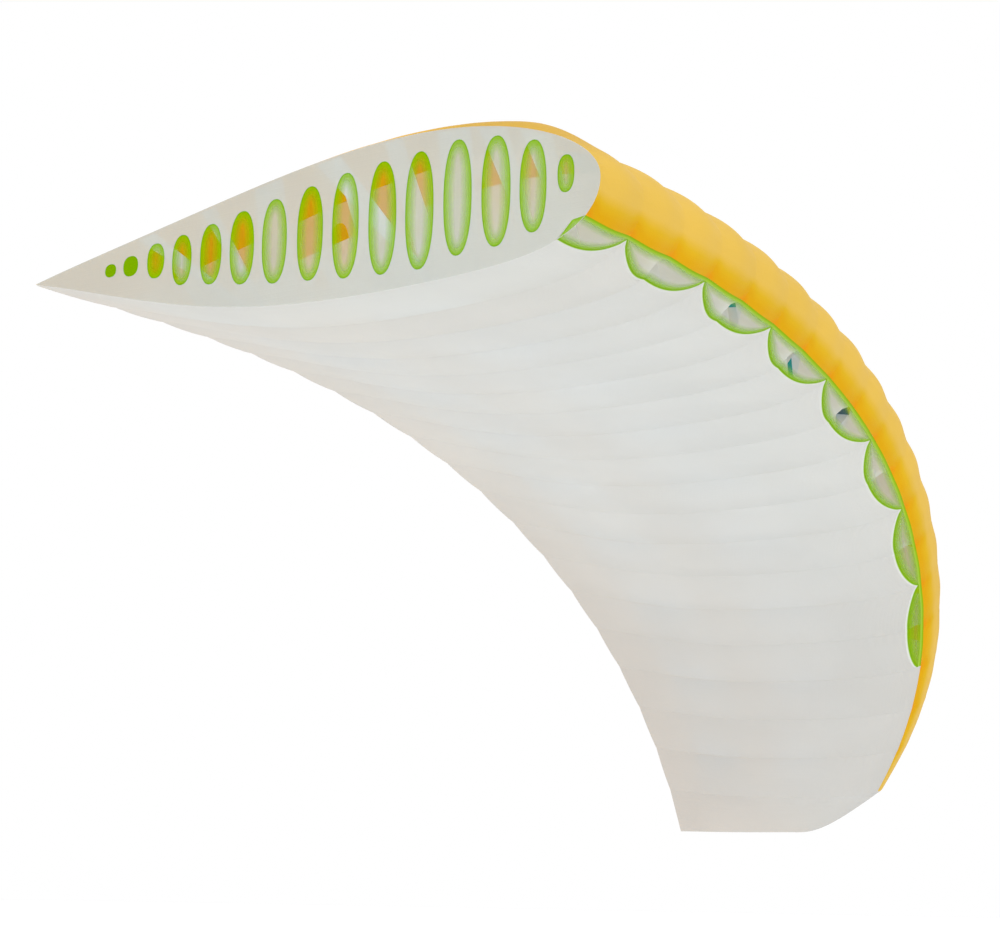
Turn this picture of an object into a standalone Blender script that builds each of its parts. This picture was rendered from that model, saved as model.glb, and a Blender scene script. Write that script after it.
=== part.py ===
"""Half of a ram-air paraglider wing in its inflated shape, cut open at its middle rib.

Frame, in metres: +X points forward to the leading edge, +Y outwards to the wing tip and +Z up.
The origin lies on the flat face of the middle rib, on the cloth between two of its ports.

Nineteen cells lie side by side. Each has an upper panel, which wraps round the nose to the lip of
the air mouth, and a lower panel. Ribs stand between them. Eight air mouths open under the nose:
each is two cells wide, and the cut through the middle rib halves the first one.
"""

import math
from collections import namedtuple

import bmesh
import bpy
from mathutils import Matrix, Vector
from mathutils.geometry import tessellate_polygon

# Plan of the wing
ROOT_CHORD = 2.8
LEADING_EDGE_X = 1.058
CELLS = 19
CELL_WIDTH = 0.30
CELL_TAPER = 0.24
CHORD_LOSS = 0.41
CHORD_LOSS_AT_TIP = 0.22
SWEEP = 0.17
SWEEP_AT_TIP = 0.26
TIP_POWER = 6

# Arc, twist and toe of the ribs, in degrees
ARC_EVEN = 9.0
ARC_TOWARDS_TIP = 67.0
WASHOUT = 2.5
TOE_OUT = 3.7
TOE_LOSS = 3.8
TIP_SWELL = 0.1

# Cloth
CLOTH = 0.002
SEAM_GAP = 0.0003
SLANTED_SEAM_GAP = 0.0009
LAST_RIB_INSET = 0.0015
BULGE = 0.06
BULGE_FADE_POWER = 16
TAPE_WIDTH = 0.014

# Places along a profile run from -1 at the lower rear, through 0 at the nose, to 1 at the upper
# rear, and the distance behind the nose is the square of the place, in chords.
UPPER_LIP = -0.148
LOWER_LIP = -0.25
LIP_ROUNDNESS = 0.7
NOTCH_BACK = 0.041
NOTCH_DROP = 0.0505
MOUTHS = 8
LAST_MOUTH_RIB = 2 * MOUTHS - 1

# The tip cell closes to an edge with a soft front corner
TIP_CORNER = 0.3
TIP_CORNER_POWER = 2.4
TIP_NOSE_SHARE = 0.04
TIP_CLOSING_POWER = 1.7

# Number of flat strips in each sheet
UPPER_STRIPS = 10
LOWER_STRIPS = 6
STRIPS_ACROSS = 3
RIB_REAR_CUT = 0.95
PORT_CORNERS = 12
INNER_PORT_CORNERS = 6
PORT_SQUARENESS = 2.3

# Bernstein weights of the profile's class-shape curves, nose to rear
Weight = namedtuple("Weight", "top bottom")
PROFILE = (
    Weight(0.26, 0.34),
    Weight(0.31, 0.18),
    Weight(0.28, 0.29),
    Weight(0.18, 0.35),
    Weight(0.22, 0.20),
)

# Ports of the middle rib, in millimetres: behind the nose, above the chord line, width and height
Port = namedtuple("Port", "back rise wide tall")
PORTS = (
    Port(2370, 0, 66, 60),
    Port(2258, 3, 86, 90),
    Port(2120, 5, 98, 150),
    Port(1978, -12, 108, 212),
    Port(1824, -11, 117, 252),
    Port(1662, -9, 130, 302),
    Port(1496, -8, 130, 344),
    Port(1318, -4, 132, 380),
    Port(1145, 0, 133, 420),
    Port(968, 2, 136, 446),
    Port(795, 4, 135, 460),
    Port(621, 25, 132, 448),
    Port(449, 21, 133, 424),
    Port(287, 13, 121, 351),
    Port(146, 36, 76, 145),
)
PORTS_OF_INNER_RIBS = (4, 6, 10)

Rib = namedtuple("Rib", "lead forward up outward chord swell")
Finish = namedtuple("Finish", "name colour roughness")
UPPER_CLOTH = Finish("golden_ripstop", (0.80, 0.46, 0.05, 1.0), 0.55)
LOWER_CLOTH = Finish("white_ripstop", (0.72, 0.72, 0.70, 1.0), 0.60)
RIB_CLOTH = Finish("rib_cloth", (0.62, 0.60, 0.56, 1.0), 0.65)
LIP_TAPE = Finish("green_tape", (0.27, 0.60, 0.01, 1.0), 0.50)


def clear_scene():
    for old in list(bpy.data.objects):
        bpy.data.objects.remove(old, do_unlink=True)


def material_of(finish):
    """The Principled material of a finish, made once."""
    material = bpy.data.materials.get(finish.name)
    if material is None:
        material = bpy.data.materials.new(finish.name)
        material.use_nodes = True
        shader = material.node_tree.nodes["Principled BSDF"]
        shader.inputs["Base Color"].default_value = finish.colour
        shader.inputs["Roughness"].default_value = finish.roughness
        shader.inputs["Metallic"].default_value = 0.0
    return material


def cell_width(cell):
    """Width of a cell along the arc; the two middle cells are alike."""
    share = max(cell - 1, 0) / (CELLS - 2)
    return CELL_WIDTH * (1 - CELL_TAPER * share**2)


def rib_frames():
    """Local frames of the ribs, from the middle rib to the tip edge."""
    half_span = sum(cell_width(cell) for cell in range(CELLS))
    stations = [sum(cell_width(cell) for cell in range(rib)) / half_span for rib in range(CELLS + 1)]
    slopes = [math.radians(ARC_EVEN * t + ARC_TOWARDS_TIP * t**2) for t in stations]
    frames = []
    across, rise = 0.0, 0.0
    for rib, (t, slope) in enumerate(zip(stations, slopes)):
        if rib:
            middle_slope = (slope + slopes[rib - 1]) / 2
            across += cell_width(rib - 1) * math.cos(middle_slope)
            rise -= cell_width(rib - 1) * math.sin(middle_slope)
        setback = ROOT_CHORD * (SWEEP * t**2 + SWEEP_AT_TIP * t**TIP_POWER)
        chord = ROOT_CHORD * (1 - CHORD_LOSS * t**2 - CHORD_LOSS_AT_TIP * t**TIP_POWER)
        toe = math.radians(TOE_OUT - TOE_LOSS * t) if rib else 0.0
        twist = math.radians(-WASHOUT * t)
        side = Vector((0, math.cos(slope), -math.sin(slope)))
        ahead = Vector((math.cos(toe), 0, 0)) - side * math.sin(toe)
        above = Vector((0, math.sin(slope), math.cos(slope)))
        frames.append(
            Rib(
                lead=Vector((LEADING_EDGE_X - setback, across, rise)),
                forward=ahead * math.cos(twist) + above * math.sin(twist),
                up=above * math.cos(twist) - ahead * math.sin(twist),
                outward=Vector((math.sin(toe), 0, 0)) + side * math.cos(toe),
                chord=chord,
                swell=1 + TIP_SWELL * t,
            )
        )
    return frames


RIBS = rib_frames()


def profile(place):
    """Distance behind the nose and height of a profile place, in chords."""
    back = place**2
    degree = len(PROFILE) - 1
    weights = [row.top if place > 0 else row.bottom for row in PROFILE]
    shape = sum(
        math.comb(degree, n) * weight * back**n * (1 - back) ** (degree - n)
        for n, weight in enumerate(weights)
    )
    return back, place * (1 - back) * shape


def profile_normal(place, swell):
    """Outward normal of the profile, as its parts along the forward and up axes."""
    step = 1e-4
    low_back, low_height = profile(max(place - step, -1))
    high_back, high_height = profile(min(place + step, 1))
    normal = Vector(((high_height - low_height) * swell, high_back - low_back))
    return normal.normalized()


def slide(place, distance, chord):
    """The place that lies a distance further along the profile, towards the upper rear."""
    step = 1e-3
    back, height = profile(place)
    next_back, next_height = profile(place + step)
    reach = math.hypot(next_back - back, next_height - height) * chord
    return place + step * distance / reach


def rib_outline_point(rib, place, offset):
    """Point on a rib's outline in its own plane, moved outwards from the profile."""
    back, height = profile(place)
    normal = profile_normal(place, rib.swell)
    return Vector(
        (-back * rib.chord + offset * normal.x, height * rib.chord * rib.swell + offset * normal.y)
    )


def in_space(rib, point, shift=0.0):
    """A point of a rib's plane in space, shifted outwards along the span."""
    return rib.lead + rib.forward * point.x + rib.up * point.y + rib.outward * shift


def seam_shift(cell, share):
    """Half a seam gap inwards from a cell's two ribs; the cut face of the middle rib stays flush."""
    if share == 0 and cell > 0:
        return SEAM_GAP / 2
    return -SEAM_GAP / 2 if share == 1 else 0.0


def skin_point(cell, share, place, offset):
    """Point of a cell's skin: share runs from its inner rib to its outer one."""
    if cell == CELLS - 1:
        return tip_point(share, place, offset)
    near, far = RIBS[cell], RIBS[cell + 1]
    shift = seam_shift(cell, share)
    start = in_space(near, rib_outline_point(near, place, offset), shift)
    end = in_space(far, rib_outline_point(far, place, offset), shift)
    normal = profile_normal(place, near.swell)
    lift = near.forward * normal.x + near.up * normal.y
    fade = 1 - abs(place) ** BULGE_FADE_POWER
    return start.lerp(end, share) + lift * (BULGE * cell_width(cell) * 4 * share * (1 - share) * fade)


def tip_point(share, place, offset):
    """Point of the tip cell's skin, which thins to the tip edge."""
    near, far = RIBS[-2], RIBS[-1]
    back, height = profile(place)
    middle = (height + profile(-place)[1]) / 2
    closing = 1 - share**TIP_CLOSING_POWER
    normal = profile_normal(place, near.swell * max(closing, TIP_NOSE_SHARE))
    if share == 1 and 0 < abs(place) < 1:
        normal = Vector((0, math.copysign(1, place)))
    flat = Vector(
        (-back * near.chord, (middle + (height - middle) * closing) * near.chord * near.swell)
    )
    centre = Vector((-back * near.chord, middle * near.chord * near.swell))
    edge = Vector((-back * far.chord, middle * far.chord * far.swell))
    corner = max(TIP_CORNER - back, 0) / TIP_CORNER
    reach = 1 - (1 - TIP_NOSE_SHARE) * corner**TIP_CORNER_POWER
    start = in_space(near, flat + normal * offset, seam_shift(CELLS - 1, share) if share == 0 else 0)
    return start + (in_space(far, edge) - in_space(near, centre)) * (reach * share)


def evenly(start, end, count):
    return [start + (end - start) * n / count for n in range(count + 1)]


def mouth_depth(cell, share):
    """Share of its full depth that the lower lip has here: 0 at a cusp, 1 at the mouth's middle."""
    if cell >= LAST_MOUTH_RIB:
        return 0.0
    across = 1 - share if cell % 2 else share
    return (1 - across**2) ** LIP_ROUNDNESS


def chord_at(cell, share):
    return RIBS[cell].chord + (RIBS[cell + 1].chord - RIBS[cell].chord) * share


def lip_tape_places(cell, share):
    """Places of the upper tape's two edges and the lower tape's two edges, nose side first."""
    chord = chord_at(cell, share)
    upper_start = slide(UPPER_LIP, -SEAM_GAP, chord)
    upper_end = slide(upper_start, -TAPE_WIDTH, chord)
    cusp = slide(upper_end, -SEAM_GAP, chord)
    lower_start = cusp + (LOWER_LIP - cusp) * mouth_depth(cell, share)
    return upper_start, upper_end, lower_start, slide(lower_start, -TAPE_WIDTH, chord)


def upper_places(cell):
    """Places where the upper panel folds, from its front edge to the trailing edge."""
    if cell == CELLS - 1:
        return [0.0] + tip_places()
    return evenly(UPPER_LIP, 1, UPPER_STRIPS)


def lower_places(cell, share):
    """Places where the lower panel folds, from its front edge to the trailing edge."""
    chord = chord_at(cell, share)
    if cell == CELLS - 1:
        return [slide(0, -SEAM_GAP, chord)] + [-place for place in tip_places()]
    behind_tape = slide(lip_tape_places(cell, share)[3], -SLANTED_SEAM_GAP, chord)
    places = evenly(behind_tape, -1, LOWER_STRIPS)
    if cell < LAST_MOUTH_RIB:
        return places
    return [slide(UPPER_LIP, -SEAM_GAP, chord)] + places


def tip_places():
    """Every place behind the nose where the last full cell folds, above or below."""
    last = CELLS - 2
    folds = {round(abs(place), 6) for place in upper_places(last) + lower_places(last, 1)}
    return sorted(folds)


def add_object(name, vertices, faces, finish, parent):
    """A mesh object with its faces turned outwards and shaded smooth between sharp folds."""
    mesh = bpy.data.meshes.new(name)
    mesh.from_pydata([tuple(vertex) for vertex in vertices], [], faces)
    shell = bmesh.new()
    shell.from_mesh(mesh)
    bmesh.ops.recalc_face_normals(shell, faces=shell.faces)
    shell.to_mesh(mesh)
    shell.free()
    mesh.shade_smooth()
    mesh.set_sharp_from_angle(angle=math.radians(40))
    mesh.materials.append(material_of(finish))
    piece = bpy.data.objects.new(name, mesh)
    piece.parent = parent
    bpy.context.scene.collection.objects.link(piece)
    return piece


def add_sheet(name, rows, finish, parent):
    """A closed sheet. Each row lists (inner, outer) points, and all rows are equally long."""
    count = len(rows[0])
    vertices = [point for row in rows for pair in row for point in pair]

    def corner(row, column, layer):
        return 2 * (row * count + column) + layer

    faces = []
    for row in range(len(rows) - 1):
        for column in range(count - 1):
            for layer in (0, 1):
                faces.append(
                    (
                        corner(row, column, layer),
                        corner(row, column + 1, layer),
                        corner(row + 1, column + 1, layer),
                        corner(row + 1, column, layer),
                    )
                )
    border = [(row, 0) for row in range(len(rows))]
    border += [(len(rows) - 1, column) for column in range(1, count)]
    border += [(row, count - 1) for row in range(len(rows) - 2, -1, -1)]
    border += [(0, column) for column in range(count - 2, 0, -1)]
    for start, end in zip(border, border[1:] + border[:1]):
        faces.append((corner(*start, 0), corner(*end, 0), corner(*end, 1), corner(*start, 1)))
    return add_object(name, vertices, faces, finish, parent)


def skin_pair(cell, share, place):
    """Inner and outer points of the cloth at one place of the skin."""
    inner = skin_point(cell, share, place, SEAM_GAP / 2)
    outer = skin_point(cell, share, place, SEAM_GAP / 2 + CLOTH)
    return inner, outer


def add_panels(parent):
    shares = evenly(0, 1, STRIPS_ACROSS)
    for cell in range(CELLS):
        upper = [[skin_pair(cell, share, place) for place in upper_places(cell)] for share in shares]
        lower = [
            [skin_pair(cell, share, place) for place in lower_places(cell, share)] for share in shares
        ]
        add_sheet(f"upper_panel_{cell + 1:02d}", upper, UPPER_CLOTH, parent)
        add_sheet(f"lower_panel_{cell + 1:02d}", lower, LOWER_CLOTH, parent)


def add_lip_tapes(parent):
    """One tape along the upper lip of all the mouths, and one that follows their scalloped lower lips."""
    upper, lower = [], []
    for cell in range(LAST_MOUTH_RIB):
        for share in evenly(0, 1, STRIPS_ACROSS):
            if share == 0 and cell > 0:
                continue
            places = lip_tape_places(cell, share)
            upper.append([tape_pair(cell, share, place) for place in places[:2]])
            lower.append([tape_pair(cell, share, place) for place in places[2:]])
    add_sheet("upper_lip_tape", upper, LIP_TAPE, parent)
    add_sheet("lower_lip_tape", lower, LIP_TAPE, parent)


def tape_pair(cell, share, place):
    """Inner and outer points of a tape, which crosses the ribs without a seam."""
    inner, outer = skin_pair(cell, share, place)
    shift = RIBS[cell + 1].outward * (SEAM_GAP / 2 if share == 1 and cell + 1 < LAST_MOUTH_RIB else 0)
    return inner + shift, outer + shift


def rib_inset(number):
    """How far a rib's edge lies inside the profile, so that the swept skin clears its outer corner."""
    if number == CELLS - 1:
        return LAST_RIB_INSET
    sweep = (RIBS[number].lead.x - RIBS[number + 1].lead.x) / cell_width(number)
    return SEAM_GAP / 2 + sweep * CLOTH / 2


def rib_outline(number):
    """Outline of a rib in its plane, just inside the skin, from the upper lip over the top."""
    rib = RIBS[number]
    cell = min(number, CELLS - 2)
    share = number - cell
    inset = -rib_inset(number)
    top = [rib_outline_point(rib, place, inset) for place in upper_places(cell)]
    bottom = [rib_outline_point(rib, place, inset) for place in lower_places(cell, share)]
    top[-1] = top[-2].lerp(top[-1], RIB_REAR_CUT)
    bottom[-1] = bottom[-2].lerp(bottom[-1], RIB_REAR_CUT)
    outline = top + bottom[::-1]
    if number % 2 == 0 and number < LAST_MOUTH_RIB:
        outline.append(Vector((-NOTCH_BACK * rib.chord, -NOTCH_DROP * rib.chord * rib.swell)))
    return outline


def port_outline(port, scale, corners):
    """A port, as a rounded oval with corners on its rim."""
    points = []
    for corner in range(corners):
        angle = 2 * math.pi * (corner + 0.5) / corners
        wide = math.copysign(abs(math.cos(angle)) ** (2 / PORT_SQUARENESS), math.cos(angle))
        tall = math.copysign(abs(math.sin(angle)) ** (2 / PORT_SQUARENESS), math.sin(angle))
        x = -port.back + wide * port.wide / 2
        z = port.rise + tall * port.tall / 2
        points.append(Vector((x, z)) * (scale / 1000))
    return points


def add_plate(name, frame, loops, thickness, parent):
    """A flat plate with holes: the first loop is its outline and the others are its holes."""
    flat = [[Vector((point.x, point.y, 0)) for point in loop] for loop in loops]
    count = sum(len(loop) for loop in loops)
    vertices = []
    for side in (-thickness / 2, thickness / 2):
        for loop in loops:
            vertices += [in_space(frame, point, side) for point in loop]
    faces = []
    for triangle in tessellate_polygon(flat):
        faces.append(tuple(triangle))
        faces.append(tuple(index + count for index in triangle))
    start = 0
    for loop in loops:
        for n in range(len(loop)):
            a, b = start + n, start + (n + 1) % len(loop)
            faces.append((a, b, b + count, a + count))
        start += len(loop)
    return add_object(name, vertices, faces, RIB_CLOTH, parent)


def add_ribs(parent):
    for number in range(CELLS):
        rib = RIBS[number]
        ports, corners = (PORTS, PORT_CORNERS)
        if number:
            ports, corners = ([PORTS[index] for index in PORTS_OF_INNER_RIBS], INNER_PORT_CORNERS)
        scale = rib.chord / ROOT_CHORD
        loops = [rib_outline(number)] + [port_outline(port, scale, corners) for port in ports]
        frame = rib if number else rib._replace(lead=rib.lead + rib.outward * CLOTH / 2)
        add_plate(f"rib_{number:02d}", frame, loops, CLOTH, parent)


def main():
    clear_scene()
    wing = bpy.data.objects.new("wing_half", None)
    wing.matrix_world = Matrix.Identity(4)
    bpy.context.scene.collection.objects.link(wing)
    add_panels(wing)
    add_ribs(wing)
    add_lip_tapes(wing)


main()
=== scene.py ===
"""Half of a ram-air paraglider wing, cut open at its middle rib, dressed in sheer coated ripstop.

The wing's form is worked out once, in WingShape, from a few driving sizes. Each sub-assembly then
cuts its own cloth on that form: the upper and lower skins, the ribs with their ports, the V-ribs,
and the binding tapes with the sheer green edging. Sizes are in metres and angles in degrees where
nothing else is said.

Frame: +X points forward to the leading edge, +Y outwards to the wing tip and +Z up.
"""

import logging
import math
from dataclasses import dataclass, field
from enum import Enum
from typing import Any, NamedTuple, Optional, Sequence

import bpy
from mathutils import Matrix, Vector
from mathutils.geometry import intersect_point_line, tessellate_polygon


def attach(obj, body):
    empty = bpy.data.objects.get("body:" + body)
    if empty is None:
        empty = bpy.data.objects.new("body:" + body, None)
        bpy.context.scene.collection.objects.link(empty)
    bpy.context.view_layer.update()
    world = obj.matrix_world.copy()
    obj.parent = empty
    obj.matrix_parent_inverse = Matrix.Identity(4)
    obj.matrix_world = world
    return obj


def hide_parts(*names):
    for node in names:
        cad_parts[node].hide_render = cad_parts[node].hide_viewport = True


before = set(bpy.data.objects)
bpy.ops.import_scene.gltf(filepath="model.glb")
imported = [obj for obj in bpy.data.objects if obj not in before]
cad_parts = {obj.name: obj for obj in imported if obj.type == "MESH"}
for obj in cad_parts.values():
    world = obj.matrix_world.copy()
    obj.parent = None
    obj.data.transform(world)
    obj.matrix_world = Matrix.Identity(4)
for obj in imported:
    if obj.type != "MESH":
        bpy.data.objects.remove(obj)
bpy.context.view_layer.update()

log = logging.getLogger("wing")

MM = 0.001
ROOT_BODY = "root"
DYE_AND_SHADE_ATTRIBUTE = "dye"
COVER_ATTRIBUTE = "cover"
CLOTH_MAP = "cloth"


class Slot(Enum):
    """Material slots of the part's record."""

    UPPER = "upper_cloth"
    LOWER = "lower_cloth"
    RIB = "rib_cloth"
    TAPE = "lip_tape"


# --- Colour and nodes -----------------------------------------------------------------------------


def linear(hex_colour: str) -> tuple[float, float, float, float]:
    """Turns an sRGB hex colour into linear light.

    Args:
        hex_colour: Six hex digits, such as "E3B23C".

    Returns:
        Linear red, green, blue and an alpha of 1.
    """
    channels = [int(hex_colour[n : n + 2], 16) / 255 for n in (0, 2, 4)]
    light = [c / 12.92 if c <= 0.04045 else ((c + 0.055) / 1.055) ** 2.4 for c in channels]
    return (light[0], light[1], light[2], 1.0)


def add_node(
    tree: bpy.types.NodeTree, kind: str, inputs: Optional[dict[Any, Any]] = None, **settings: Any
) -> bpy.types.Node:
    """Adds a shader node with its settings, constant inputs and incoming links.

    Args:
        tree: Node tree that takes the node.
        kind: Blender's identifier of the node after "ShaderNode", such as "Math".
        inputs: A constant value or an output socket for each input, by name or number.
        settings: Properties of the node itself.

    Returns:
        The new node.
    """
    node = tree.nodes.new("ShaderNode" + kind)
    for name, value in settings.items():
        setattr(node, name, value)
    for key, value in (inputs or {}).items():
        if isinstance(value, bpy.types.NodeSocket):
            tree.links.new(value, node.inputs[key])
        else:
            node.inputs[key].default_value = value
    return node


def fill_ramp(node: bpy.types.Node, stops: Sequence[tuple[float, str]]) -> bpy.types.NodeSocket:
    """Sets the stops of a Color Ramp.

    Args:
        node: The Color Ramp node.
        stops: Positions from 0 to 1 with their sRGB hex colours, in order; at least two.

    Returns:
        The socket of its colour.
    """
    elements = node.color_ramp.elements
    while len(elements) < len(stops):
        elements.new(1.0)
    for element, (position, colour) in zip(elements, stops):
        element.position = position
        element.color = linear(colour)
    return node.outputs["Color"]


def new_material(name: str) -> tuple[bpy.types.Material, bpy.types.NodeTree]:
    """Makes an empty node material.

    Args:
        name: Name of the material.

    Returns:
        The material and its node tree.
    """
    material = bpy.data.materials.new(name)
    material.use_nodes = True
    material.node_tree.nodes.clear()
    return material, material.node_tree


# --- Finishes -------------------------------------------------------------------------------------


@dataclass(frozen=True)
class Ripstop:
    """Coated nylon ripstop: a fine plain weave with a raised grid of thicker threads.

    The coating gives it a low satin sheen, and the thin weave lets much of the light through, so
    the cloth glows in its own colour where it is lit from behind.

    Attributes:
        name: Name of the material.
        colour: sRGB hex colour of the cloth.
        glow: Share of light that passes through, scattered.
        sheer: Share of light that passes straight through, so that what lies behind shows.
        roughness: Roughness of the coating.
        gloss: Strength of the coating's reflection; half of it is lost in the weave.
        grid: Spacing of the thick threads. Real ones are 5 mm apart, which is too fine to show at
            this size, so they are drawn coarser.
        grid_depth: Depth of the grid's relief.
        thread_edge: How narrow the thick threads are drawn: the power of the wave they follow.
        crinkle_depth: Depth of the crinkles that packing leaves.
        blotch: How much the colour varies over a few decimetres.
    """

    name: str
    colour: str
    glow: float = 0.30
    sheer: float = 0.05
    roughness: float = 0.5
    gloss: float = 0.25
    grid: float = 0.020
    grid_depth: float = 0.0006
    thread_edge: float = 10.0
    crinkle_depth: float = 0.004
    blotch: float = 0.04

    def build(self) -> bpy.types.Material:
        """Makes the material.

        Returns:
            The finished material.
        """
        material, tree = new_material(self.name)
        self.finish(tree, self.clouded(tree, self.dyed(tree)))
        return material

    def dyed(self, tree: bpy.types.NodeTree) -> Any:
        """Gives the colour of the cloth, as a constant or a socket: here one colour all over."""
        return linear(self.colour)

    def covering(self, tree: bpy.types.NodeTree) -> Any:
        """Gives how much the cloth covers, as a constant or a socket: here the same all over."""
        return 1 - self.sheer

    def clouded(self, tree: bpy.types.NodeTree, colour: Any) -> bpy.types.NodeSocket:
        """Varies a colour softly, as coated cloth does where it is stretched more or less.

        Args:
            tree: Node tree of the material.
            colour: A constant colour, or the socket that gives it.

        Returns:
            The socket of the varied colour.
        """
        position = add_node(tree, "TexCoord").outputs["Object"]
        noise = add_node(
            tree, "TexNoise", {"Vector": position, "Scale": 2.2, "Detail": 3.0, "Roughness": 0.45}
        )
        swing = add_node(
            tree,
            "MapRange",
            {
                "Value": noise.outputs["Fac"],
                "From Min": 0.3,
                "From Max": 0.7,
                "To Min": 1 - self.blotch,
                "To Max": 1.0,
            },
        )
        shade = add_node(
            tree,
            "Mix",
            {0: 1.0, 6: colour, 7: swing.outputs["Result"]},
            data_type="RGBA",
            blend_type="MULTIPLY",
        )
        return shade.outputs[2]

    def relief(self, tree: bpy.types.NodeTree) -> bpy.types.NodeSocket:
        """Raises the grid of thick threads and a faint crinkle as bump.

        Args:
            tree: Node tree of the material.

        Returns:
            The socket of the bumped normal.
        """
        cloth = add_node(tree, "UVMap", uv_map=CLOTH_MAP).outputs["UV"]
        axes = add_node(tree, "SeparateXYZ", {0: cloth}).outputs
        ridges = []
        for axis in ("X", "Y"):
            height = axes[axis]
            for operation, term in (
                ("MULTIPLY", math.pi / self.grid),
                ("COSINE", 0.0),
                ("ABSOLUTE", 0.0),
                ("POWER", self.thread_edge),
            ):
                step = add_node(tree, "Math", {0: height, 1: term}, operation=operation)
                height = step.outputs[0]
            ridges.append(height)
        grid = add_node(tree, "Math", {0: ridges[0], 1: ridges[1]}, operation="MAXIMUM")
        threads = add_node(
            tree,
            "Bump",
            {"Height": grid.outputs[0], "Strength": 0.35, "Distance": self.grid_depth},
        )
        crinkle = add_node(
            tree,
            "TexNoise",
            {"Vector": cloth, "Scale": 9.0, "Detail": 4.0, "Roughness": 0.5, "Distortion": 0.6},
        )
        bump = add_node(
            tree,
            "Bump",
            {
                "Height": crinkle.outputs["Fac"],
                "Normal": threads.outputs["Normal"],
                "Strength": 0.4,
                "Distance": self.crinkle_depth,
            },
        )
        return bump.outputs["Normal"]

    def finish(self, tree: bpy.types.NodeTree, colour: bpy.types.NodeSocket) -> None:
        """Joins surface, glow and sheerness into the material's output.

        Args:
            tree: Node tree of the material.
            colour: Socket of the cloth's colour.
        """
        normal = self.relief(tree)
        surface = add_node(
            tree,
            "BsdfPrincipled",
            {
                "Base Color": colour,
                "Normal": normal,
                "Roughness": self.roughness,
                "Metallic": 0.0,
                "Specular IOR Level": self.gloss,
            },
        )
        back = add_node(tree, "BsdfTranslucent", {"Color": colour, "Normal": normal})
        cloth = add_node(
            tree, "MixShader", {0: self.glow, 1: surface.outputs[0], 2: back.outputs[0]}
        )
        clear = add_node(tree, "BsdfTransparent")
        seen = add_node(
            tree, "MixShader", {0: self.covering(tree), 1: clear.outputs[0], 2: cloth.outputs[0]}
        )
        add_node(tree, "OutputMaterial", {"Surface": seen.outputs[0]})


@dataclass(frozen=True)
class UpperRipstop(Ripstop):
    """Golden ripstop of the upper skin, dyed in plain bands that run along the span.

    The nose's colours are painted light: deepest near the lip of the mouths, as painted shade where
    the nose turns down, and paling towards the top, as painted sheen. A plain slate and teal stripe
    follows it, and the rest is orange-gold. The sheet's place attribute for the stripes and the
    painted shade says where each colour lies.

    Attributes:
        lip_place: Place of the lip along the profile.
        nose_shading: Distances from the lip, as places, with colours of the painted shade and
            sheen:
        where a seam meets the lip, the lip, where the deepest shade ends, and the front of the
        nose.
        slate_colour: sRGB hex colour of the stripe's front part.
        teal_colour: sRGB hex colour of the stripe's rear part.
        rear_colour: sRGB hex colour behind the stripe.
        stripe_start: Dye place where the stripe starts.
        teal_start: Dye place where it turns teal.
        stripe_end: Dye place where it ends.
        edge: Half the width over which one dye turns into the next.
        plain_dyes_and_shade: Dye places with colours of cloth that has no stripe: the crown of the
            middle
        cell is painted a little darker, as painted shade.
        plain_shift: How much is added to the dye place of such cloth.
    """

    lip_place: float = -0.148
    # Painted light: the nose turns deepest at the lip as painted shade and pales upwards as painted
    # sheen.
    nose_shading: tuple[tuple[float, str], ...] = (
        (-0.04, "DE9400"),
        (0.0, "D7A200"),
        (0.018, "D7A200"),
        (0.055, "D7AD1A"),
        (0.095, "DCB650"),
    )
    slate_colour: str = "4E6870"
    teal_colour: str = "2E9C9C"
    rear_colour: str = "F0B60A"
    stripe_start: float = 0.38
    teal_start: float = 0.425
    stripe_end: float = 0.49
    edge: float = 0.001
    # The darker CFA53C of the middle cell's crown is painted shade.
    plain_dyes_and_shade: tuple[tuple[float, str], ...] = (
        (0.1, "DCB650"),
        (0.26, "CFA53C"),
        (0.46, "CFA53C"),
        (0.68, "F0B60A"),
        (1.0, "F0B60A"),
    )
    plain_shift: float = 1.2

    def dyed(self, tree: bpy.types.NodeTree) -> bpy.types.NodeSocket:
        """Gives the bands, first those of striped cloth and then those of plain cloth, each with
        the painted shade and sheen of the nose.

        Args:
            tree: Node tree of the material.

        Returns:
            The socket of the colour.
        """
        # Painted shade and sheen of the nose, deepest at the lip and paler towards the top.
        nose = tuple((self.lip_place + past, colour) for past, colour in self.nose_shading)
        stops = list(nose)
        bands = (self.colour, self.slate_colour, self.teal_colour, self.rear_colour)
        starts = (self.stripe_start, self.teal_start, self.stripe_end)
        for start, before, after in zip(starts, bands, bands[1:]):
            stops += [(start - self.edge, before), (start + self.edge, after)]
        stops.append((1.0, self.rear_colour))
        stops += [(place + self.plain_shift, colour) for place, colour in nose + self.plain_dyes_and_shade]
        first, last = stops[0][0], stops[-1][0]
        dye = add_node(tree, "Attribute", attribute_name=DYE_AND_SHADE_ATTRIBUTE).outputs["Fac"]
        along = add_node(tree, "MapRange", {"Value": dye, "From Min": first, "From Max": last})
        ramp = add_node(tree, "ValToRGB", {0: along.outputs["Result"]})
        shares = [((place - first) / (last - first), colour) for place, colour in stops]
        return fill_ramp(ramp, shares)


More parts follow.
